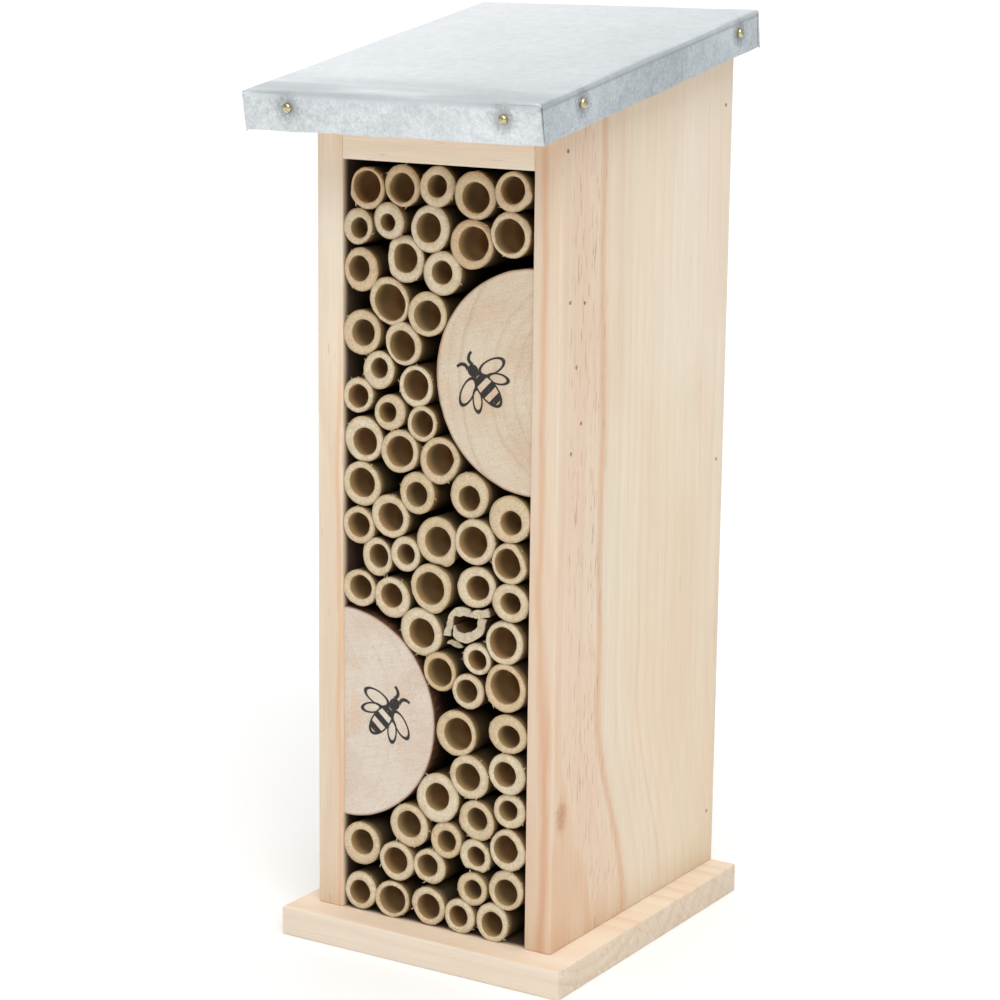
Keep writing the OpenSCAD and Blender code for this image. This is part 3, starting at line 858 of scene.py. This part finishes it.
def make_canes():
    material = cane_finish("cane")
    facts = cane_facts()
    dice = random.Random(41)
    for number, fact in enumerate(facts):
        turn = dice.uniform(0, math.tau)
        off = dice.uniform(0, math.tau)
        wall = fact["outer"] - fact["bore"]
        fact.update(seed=number * 0.37 + 1, squeeze=dice.uniform(0.0, 0.09), lean=turn,
                    aside=wall * dice.uniform(0.05, 0.35), aside_x=math.cos(off), aside_z=math.sin(off),
                    saw_x=dice.uniform(-0.05, 0.05), saw_z=dice.uniform(-0.05, 0.05),
                    dent=0.0, dent_at=0.0, chip=0.0, chip_at=0.0, burr=0.0, burr_at=0.0)
        if dice.random() < 0.25:
            fact.update(chip=dice.uniform(0.3, 0.9) * MM, chip_at=dice.uniform(0, math.tau))
    for key, marks in (("dent", DENTS), ("chip", CHIPS), ("burr", BURRS)):
        for x, z, direction, size in marks:
            nearest(facts, x, z).update({key: size * MM, key + "_at": math.radians(direction)})
    tree = cane_tree(material)
    nodes = sorted({fact["node"] for fact in facts})
    share = math.ceil(len(nodes) / 3)
    for number, name in enumerate(("upper_canes", "middle_canes", "lower_canes")):
        mine = nodes[number * share:(number + 1) * share]
        batch = [fact for fact in facts if fact["node"] in mine]
        keys = [key for key in batch[0] if key != "node"]
        host = host_points(name, [f["mouth"] for f in batch], **{k: [f[k] for f in batch] for k in keys})
        mesh = run_tree(name, tree, host, {"Chamfer": 0.75 * MM, "Saw roughness": 0.5 * MM})
        add_splinters(mesh, batch, dice)
        outwards(mesh)
        smooth(mesh, 38)
        make_piece(name, mesh, material, "cane", *mine)


# ---- Half logs ----

def half_log(node, side, bees, seed):
    """A half log against the left (-1) or right (1) board: sawn face, uneven round, rough along its back."""
    low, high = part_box(node)
    wall = high.x if side > 0 else low.x
    middle = (low.z + high.z) / 2
    radius = (high.z - low.z) / 2
    around, face_rings, length_rings = 96, 22, 40
    shape = bmesh.new()
    edge_layer = shape.verts.layers.float.new("edge")
    rows = []
    stations = [("face", i / face_rings) for i in range(face_rings)]
    stations += [("side", (i / length_rings) ** 1.6) for i in range(length_rings + 1)]
    stations += [("end", 1 - i / 6) for i in range(1, 7)]
    for kind, t in stations:
        row = []
        for i in range(around + 1):
            a = math.pi * (i / around - 0.5)
            c, s = math.cos(a), math.sin(a)
            bulge = noise.noise(Vector((c * 1.7, s * 1.7, seed))) * 0.9
            bulge += noise.noise(Vector((c * 9, s * 9, seed + 5))) * 0.35
            reach = radius + bulge * 0.3 * MM
            depth, spread, edge = low.y, t, t
            if kind == "face":
                grain = noise.noise(Vector((t * c * 6, t * s * 6, seed + 9)))
                saw = math.sin(t * s * 60 + seed) * 0.03
                depth += (grain * 0.10 + saw + 0.05) * MM
            elif kind == "side":
                y = t * (high.y - low.y)
                rough = noise.fractal(Vector((c * 5, s * 5, y * 60 + seed)), 0.7, 2.2, 4)
                reach += (rough * 0.5 - 0.3) * MM * min(1, t * 12 + 0.1)
                spread, edge = 1, 1.05
                depth += max(y, 0.25 * MM if t > 0 else 0)
                if t == 0:
                    reach -= 0.2 * MM
                    edge = 0.985
            else:
                depth, edge = high.y, 0.0
            x = wall - side * max(reach * spread * c, 0)
            vert = shape.verts.new((x, depth, middle + reach * spread * s))
            vert[edge_layer] = edge
            row.append(vert)
        rows.append(row)
    for first, second in zip(rows, rows[1:]):
        for i in range(around):
            shape.faces.new((first[i], second[i], second[i + 1], first[i + 1]))
    seam = [row[0] for row in rows] + [row[-1] for row in reversed(rows[:-1])][:-1]
    shape.faces.new(seam)
    bmesh.ops.remove_doubles(shape, verts=shape.verts, dist=2e-6)
    bmesh.ops.recalc_face_normals(shape, faces=shape.faces)
    mesh = take_mesh(shape, node)
    smooth(mesh, 40)
    tones, rings = ((220, 207, 192), (212, 194, 175)), 0.12
    if side > 0:
        tones, rings = ((216, 200, 177), (208, 185, 158)), 0.5
    pith = (wall / MM + side * 22, middle / MM)
    make_piece(node, mesh, log_finish(node, pith, bees, tones, rings, seed), "log_wood", node)


# ---- Split cane ----

# Each torn shell of the crushed cane: its middle line across and up with its thickness there,
# how far its end lies behind the mouth, and its length
SHELLS = [
    ([(4.5, 111.5, 2.2), (4.5, 113, 2.5), (5.5, 116, 2.2), (6, 118.5, 2), (8, 120, 2.8), (11, 120.5, 3),
      (13.5, 120, 2)], 1.5, 100),
    ([(18.5, 119.5, 2.4), (18, 118, 2.8), (17.5, 115.5, 2.8), (15, 113, 3), (12.5, 112, 3.4), (9.5, 112, 3.2),
      (8, 113.5, 1.8), (7.5, 115.5, 0.6)], 0.8, 100),
    ([(14, 120, 1.2), (16, 120.5, 2.6), (18.5, 121, 2.6), (21, 121.5, 2.8)], 0.4, 26),
    ([(3.5, 108.5, 0.4), (5, 109, 1.6), (7.5, 108.5, 2), (9.5, 108, 0.4)], 3, 20),
]


def smooth_line(points, steps):
    """Points on a Catmull-Rom curve through the given ones, each with its tangent."""
    ends = [Vector(p) for p in (points[0], *points, points[-1])]
    line = []
    for step in range(steps + 1):
        t = step / steps * (len(points) - 1)
        k = min(int(t), len(points) - 2)
        t -= k
        a, b, c, d = ends[k:k + 4]
        bow, twist = 2 * a - 5 * b + 4 * c - d, 3 * b - a - 3 * c + d
        spot = 0.5 * (2 * b + (c - a) * t + bow * t ** 2 + twist * t ** 3)
        way = 0.5 * ((c - a) + 2 * bow * t + 3 * twist * t ** 2)
        line.append((spot, way))
    return line


SPLIT_SEED = 60.0  # one seed gives all shells the same bamboo tint


def make_split_cane(material):
    """Torn shells of bamboo wall with frayed ends, one inside another."""
    shape = bmesh.new()
    layers = {key: shape.verts.layers.float.new(key) for key in ("along", "seed", "deep")}
    steps, stations = 30, 14
    for number, (points, recess, length) in enumerate(SHELLS):
        line = smooth_line(points, steps)
        sides = [(spot, way, 1) for spot, way in line] + [(spot, way, -1) for spot, way in reversed(line)]
        loops = []
        for k in range(stations + 1):
            run = 0.3 * k if k < 2 else 0.3 + length * ((k - 1) / (stations - 1)) ** 1.8
            ring = []
            for i, (spot, way, side) in enumerate(sides):
                aside = Vector((-way.y, way.x)).normalized() * side * spot.z / 2
                fray = noise.noise(Vector((i * 0.35, number * 5, 7))) * (0.9 if k < 2 else 0)
                wave = noise.noise(Vector((spot.x * 0.4, spot.y * 0.4, number + run * 0.02 + side))) * 0.35
                x = MIDDLE + spot.x + aside.x * (1 + wave)
                z = spot.y + aside.y * (1 + wave)
                deep = recess + run + fray
                vert = shape.verts.new((x * MM, (FRONT + deep) * MM, z * MM))
                vert[layers["along"]] = 0.5 if k == 0 else (0.57 if side > 0 else 0.45)
                if k > 1:
                    vert[layers["along"]] = 0.7 if side > 0 else 0.36
                vert[layers["seed"]] = SPLIT_SEED
                # The depth behind the mouth is stretched, nine times on the inner side and three times on the
                # outer, so the painted shade comes on sooner.
                vert[layers["deep"]] = run * (3 if side > 0 else 9)
                ring.append(vert)
            loops.append(ring)
        count = len(sides)
        for one, two in zip(loops, loops[1:]):
            for i in range(count):
                j = (i + 1) % count
                shape.faces.new((one[i], two[i], two[j], one[j]))
        for ring in (loops[0], loops[-1]):
            for i in range(steps):
                shape.faces.new((ring[i], ring[i + 1], ring[count - 2 - i], ring[count - 1 - i]))
    bmesh.ops.recalc_face_normals(shape, faces=shape.faces)
    mesh = take_mesh(shape, "split_cane")
    smooth(mesh, 45)
    make_piece("split_cane", mesh, material, "cane", "split_cane")


# ---- Roof ----

def roof_frame():
    """The roof's own axes: across, up the slope and square to it, from the middle of its front edge."""
    low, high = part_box("roof_sheet")
    points = [v.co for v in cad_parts["roof_sheet"].data.vertices]
    crest = max(points, key=lambda p: p.z)
    brow = max((p for p in points if p.x > 0), key=lambda p: p.z - p.y * 3)
    slope = math.atan2(crest.z - brow.z, crest.y - brow.y)
    length = math.hypot(crest.z - brow.z, crest.y - brow.y)
    turn = Matrix.Translation((0, brow.y, brow.z)) @ Matrix.Rotation(slope, 4, "X")
    return turn, high.x - low.x, length, slope


def fold(distance, half, bend):
    """Where a sheet's point ends up that lies a distance out from the middle: across, down."""
    flat = half - bend
    size = abs(distance)
    sign = 1 if distance > 0 else -1
    if size <= flat:
        return distance, 0.0
    arc = min((size - flat) / (bend * math.pi / 2), 1)
    across = flat + bend * math.sin(arc * math.pi / 2)
    down = bend * (1 - math.cos(arc * math.pi / 2))
    rest = max(size - flat - bend * math.pi / 2, 0)
    return sign * across, down + rest


def make_roof():
    """The folded zinc sheet, dented round its nails, and the board under it. Returns the roof's slope."""
    turn, width, length, slope = roof_frame()
    half_w, half_l = width / 2 / MM, length / 2 / MM
    skirt, thick = 13.0, 0.6
    bend_w, bend_l = 1.7, 1.1
    nails = []
    for node, axis, sign in (("front_roof_nails", 1, -1), ("rear_roof_nails", 1, 1),
                             ("left_roof_nails", 0, -1), ("right_roof_nails", 0, 1)):
        for part in loose_parts(node):
            outer = sorted(part, key=lambda p: sign * p[axis])[-8:]
            nails.append(sum(outer, Vector()) / len(outer))
    inverse = turn.inverted()
    local_nails = [inverse @ nail / MM for nail in nails]

    def stops(half, bend):
        arc = bend * math.pi / 2
        edge = half - bend + arc
        rest = skirt - bend
        outside = [half - bend + arc * k / 5 for k in range(6)] + [edge + rest * k / 7 for k in range(1, 8)]
        inside = [half - bend - 3, half - bend - 0.9]
        count = 30
        core = [(k / count - 0.5) * 2 * (half - bend - 5) for k in range(count + 1)]
        return [-s for s in reversed(outside)] + [-s for s in reversed(inside)] + core + inside + outside

    across, along = stops(half_w, bend_w), stops(half_l, bend_l)
    arc_w = half_w - bend_w + bend_w * math.pi / 2
    arc_l = half_l - bend_l + bend_l * math.pi / 2
    shape = bmesh.new()
    grid = {}

    def corner(i, j):
        if (i, j) in grid:
            return grid[i, j]
        a, b = across[i], along[j]
        over = min(max((abs(b) - (half_l - bend_l)) / (arc_l - half_l + bend_l), 0), 1)
        x, drop_x = fold(a, half_w, bend_w)
        x_flat = min(abs(a), half_w) * (1 if a > 0 else -1)
        y, drop_y = fold(b, half_l, bend_l)
        x = x * (1 - over) + x_flat * over if abs(a) <= arc_w + 1e-6 else x
        drop_x = drop_x * (1 - over) if abs(a) <= arc_w + 1e-6 else drop_x
        h = -(drop_x + drop_y)
        if abs(a) > arc_w and abs(b) > half_l - bend_l:
            y = (half_l - bend_l) * (1 if b > 0 else -1)
            h = -drop_x
        spot = Vector((x, y + half_l, h))
        wave = noise.noise(Vector((x * 0.03, spot.y * 0.03, 3.0)))
        if drop_x + drop_y < 0.5:
            spot.z -= 0.25 + wave * 0.25
        depth = -h / skirt
        if abs(a) > arc_w:
            ripple = noise.noise(Vector((spot.y * 0.045, 1.7 if a > 0 else 8.8, 0.0)))
            spot.x += (1 if a > 0 else -1) * (ripple * 0.7 - 0.35) * depth
            spot.z += noise.noise(Vector((spot.y * 0.06, 4.0, a * 0.001))) * 0.45 * depth
        if abs(b) > arc_l:
            ripple = noise.noise(Vector((x * 0.05, 6.1 if b > 0 else 2.2, 0.0)))
            spot.y += (1 if b > 0 else -1) * (ripple * 0.6 - 0.3) * depth
            spot.z += noise.noise(Vector((x * 0.06, 5.0, b * 0.001))) * 0.4 * depth
        for nail in local_nails:
            gap = (spot - nail).length
            if gap < 9:
                push = 0.35 * math.exp(-(gap / 3.2) ** 2)
                if abs(nail.x) > half_w - 3:
                    spot.x -= push * (1 if nail.x > 0 else -1)
                else:
                    spot.y += push if nail.y < half_l else -push
        grid[i, j] = shape.verts.new(turn @ (spot * MM))
        return grid[i, j]

    for i in range(len(across) - 1):
        for j in range(len(along) - 1):
            a = max(abs(across[i]), abs(across[i + 1]))
            b = max(abs(along[j]), abs(along[j + 1]))
            if a > arc_w + 1e-6 and b > half_l - bend_l + 1e-6:
                continue
            shape.faces.new((corner(i, j), corner(i + 1, j), corner(i + 1, j + 1), corner(i, j + 1)))
    bmesh.ops.recalc_face_normals(shape, faces=shape.faces)
    top = max(shape.faces, key=lambda f: f.calc_center_median().z)
    if top.normal.z < 0:
        bmesh.ops.reverse_faces(shape, faces=shape.faces)
    work = add_object("roof_sheet", take_mesh(shape, "roof_sheet"))
    shell = work.modifiers.new("sheet", "SOLIDIFY")
    shell.thickness = thick * MM
    shell.offset = -1
    mesh = bake_modifiers(work)
    smooth(mesh, 50)
    zinc = galvanised("galvanised", turn.translation, slope, [tuple(nail / MM) for nail in nails])
    make_piece("roof_sheet", mesh, zinc, "galvanised", "roof_sheet")

    shape = bmesh.new()
    bmesh.ops.create_cube(shape, size=1)
    inset = thick + 0.35
    scale = Matrix.Diagonal((width - 2 * inset * MM, length - 2 * inset * MM, (skirt - thick - 0.7) * MM, 1))
    middle = Matrix.Translation((0, length / 2, -(skirt + thick + 0.3) / 2 * MM))
    bmesh.ops.transform(shape, matrix=turn @ middle @ scale, verts=shape.verts)
    bmesh.ops.bevel(shape, geom=shape.edges[:], offset=0.6 * MM, segments=2, affect="EDGES")
    mesh = take_mesh(shape, "roof_board")
    smooth(mesh, 40)
    roof_pine = pine("roof_pine", "x", (60, 200), 5.0, (228, 206, 174), (222, 192, 154), (202, 150, 108),
                     0.5, seed=5.5)
    make_piece("roof_board", mesh, roof_pine, "pine", "roof_board")
    return slope


def make_fasteners(slope):
    brass = metal("brass", (216, 206, 170), (172, 158, 120), 0.18, 1.0, 0.0)
    steel = metal("steel", (150, 122, 98), (104, 80, 62), 0.5)
    pins = fastener_tree(brass, 3)
    uphill = Vector((0, math.cos(slope), math.sin(slope)))
    dome = 1.2 * MM
    sizes = {"Head radius": 1.6 * MM, "Dome height": dome, "Shank radius": 0.8 * MM, "Length": 15 * MM}
    for node, aim in (("front_roof_nails", -uphill), ("rear_roof_nails", uphill),
                      ("left_roof_nails", Vector((-1, 0, 0))), ("right_roof_nails", Vector((1, 0, 0)))):
        spots = []
        for part in loose_parts(node):
            crown = max(part, key=lambda p: p.dot(aim))
            level = crown.dot(aim)
            head = [p for p in part if p.dot(aim) > level - 1.25 * MM]
            middle = sum(head, Vector()) / len(head)
            spots.append(middle + aim * (level - dome - middle.dot(aim)))
        fasteners(node, pins, spots, aim, sizes, brass, "brass")
    brads = fastener_tree(steel, 5)
    sizes = {"Head radius": 0.68 * MM, "Dome height": 0.2 * MM, "Shank radius": 0.6 * MM, "Length": 22 * MM}
    for node, side in (("left_side_brads", -1), ("lower_log_brads", -1), ("right_side_brads", 1),
                       ("upper_log_brads", 1)):
        aim = Vector((side, 0, 0))
        spots = [spot - aim * 0.3 * MM for spot in heads(node, 0, side)]
        fasteners(node, brads, spots, aim, sizes, steel, "steel")
    for node in ("roof_brads", "base_screws"):
        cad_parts[node].data.materials.clear()
        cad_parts[node].data.materials.append(steel)


# ---- Surroundings ----

def make_studio():
    """A wide pale floor under an even sky, with a broad key light from the front right."""
    size = 60.0
    mesh = bpy.data.meshes.new("floor")
    corners = [(-size, -size, 0), (size, -size, 0), (size, size, 0), (-size, size, 0)]
    mesh.from_pydata(corners, [], [(0, 1, 2, 3)])
    pale = Finish("pale_floor")
    tint = pale.noise(pale.place, 0.002, 2.0)
    mesh.materials.append(pale.close(pale.blend(tint, (252, 252, 252), (255, 255, 255)), 0.9))
    add_object("floor", mesh)
    world = bpy.data.worlds.new("studio")
    world.use_nodes = True
    sky = world.node_tree.nodes["Background"]
    sky.inputs["Color"].default_value = (1, 1, 1, 1)
    sky.inputs["Strength"].default_value = 0.45
    SCENE.world = world
    for name, direction, strength, spread in (("key", (0.46, -0.54, 0.66), 1.33, 40),
                                              ("top", (0, 0, 1), 1.22, 60)):
        lamp = bpy.data.lights.new(name, "SUN")
        lamp.energy = strength
        lamp.angle = math.radians(spread)
        add_object(name, lamp).rotation_euler = Vector(direction).to_track_quat("Z", "Y").to_euler()
    reflector("grey_card", (0.42, 0.50, 0.25), (0.55, 0.83, 0.0), 1.0, 0.55, (200, 207, 211), 0.94)
    reflector("white_card", (-0.9, 1.3, 1.1), (-0.55, 0.75, 0.35), 1.6, 1.2, (255, 255, 255), 1.0)
    SCENE.view_settings.view_transform = "Standard"


def reflector(name, place, away, width, height, tint, glow):
    """A card that shows only in the metal's gloss, facing the hotel from the given side."""
    card = Finish(name)
    shader = card.add("ShaderNodeEmission", None, {"Color": paint(tint), "Strength": glow})
    card.add("ShaderNodeOutputMaterial", None, {"Surface": shader})
    mesh = bpy.data.meshes.new(name)
    x, z = width / 2, height / 2
    mesh.from_pydata([(-x, 0, -z), (x, 0, -z), (x, 0, z), (-x, 0, z)], [], [(0, 1, 2, 3)])
    turn = Vector(away).to_track_quat("Y", "Z").to_matrix().to_4x4()
    mesh.transform(Matrix.Translation(place) @ turn)
    mesh.materials.append(card.material)
    thing = add_object(name, mesh)
    thing.visible_camera = thing.visible_diffuse = thing.visible_shadow = False


make_boards()
make_fasteners(make_roof())
make_canes()
make_split_cane(cane_finish("split_cane", True))
half_log("upper_half_log", 1, [((MIDDLE + 16.5, 197.5), 135, 15.0)], 2.0)
half_log("lower_half_log", -1, [((MIDDLE - 18.5, 82), 50, 15.0)], 6.0)
make_studio()
